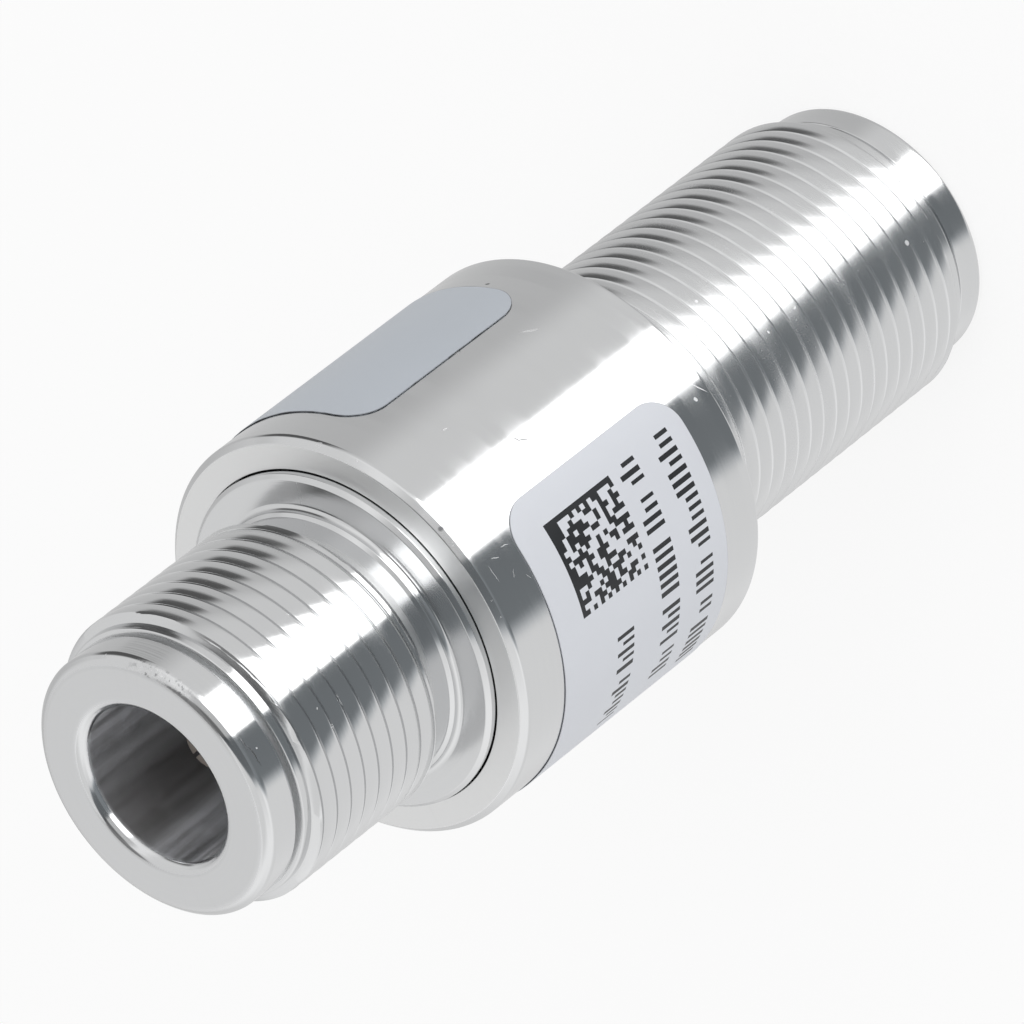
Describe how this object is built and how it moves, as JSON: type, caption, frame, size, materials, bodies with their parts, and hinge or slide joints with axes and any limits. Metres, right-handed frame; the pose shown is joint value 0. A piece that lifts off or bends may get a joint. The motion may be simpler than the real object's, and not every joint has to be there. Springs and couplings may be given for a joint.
{
  "type": "coax lightning arrestor",
  "caption": "Turned coaxial surge arrestor with a threaded socket at each end, one long enough for a panel, and a gas tube across the body.",
  "frame": {"origin": "centre of the far port's end face, on which the part stands", "axes": "+Z along the common axis, up to the near port's end face; the gas tube lies along +X"},
  "size_m": [0.0222, 0.0221, 0.0575],
  "materials": {
    "plated_brass": "bright white plating over turned brass",
    "contact_plating": "thin gold plating",
    "insulator": "white fluoropolymer",
    "seal_rubber": "black O-ring rubber",
    "tube_electrode": "nickel-plated iron",
    "tube_ceramic": "white alumina",
    "spring_steel": "stainless spring steel",
    "data_film": "white printed film",
    "grey_film": "silver-grey film"
  },
  "bodies": {
    "root": {"body": "plated_brass", "near_port": "plated_brass", "port_seal": "seal_rubber", "near_bead": "insulator", "near_bead_seal": "seal_rubber", "far_bead": "insulator", "far_bead_seal": "seal_rubber", "near_sleeve": "plated_brass", "far_sleeve": "plated_brass", "near_contact": "contact_plating", "far_contact": "contact_plating", "centre_rod": "contact_plating", "tube_inner_cap": "tube_electrode", "tube_outer_cap": "tube_electrode", "tube_ceramic": "tube_ceramic", "tube_collar": "insulator", "tube_spring": "spring_steel", "tube_plug": "plated_brass", "plug_seal": "seal_rubber", "data_label": "data_film", "upper_label": "grey_film"}
  },
  "joints": []
}
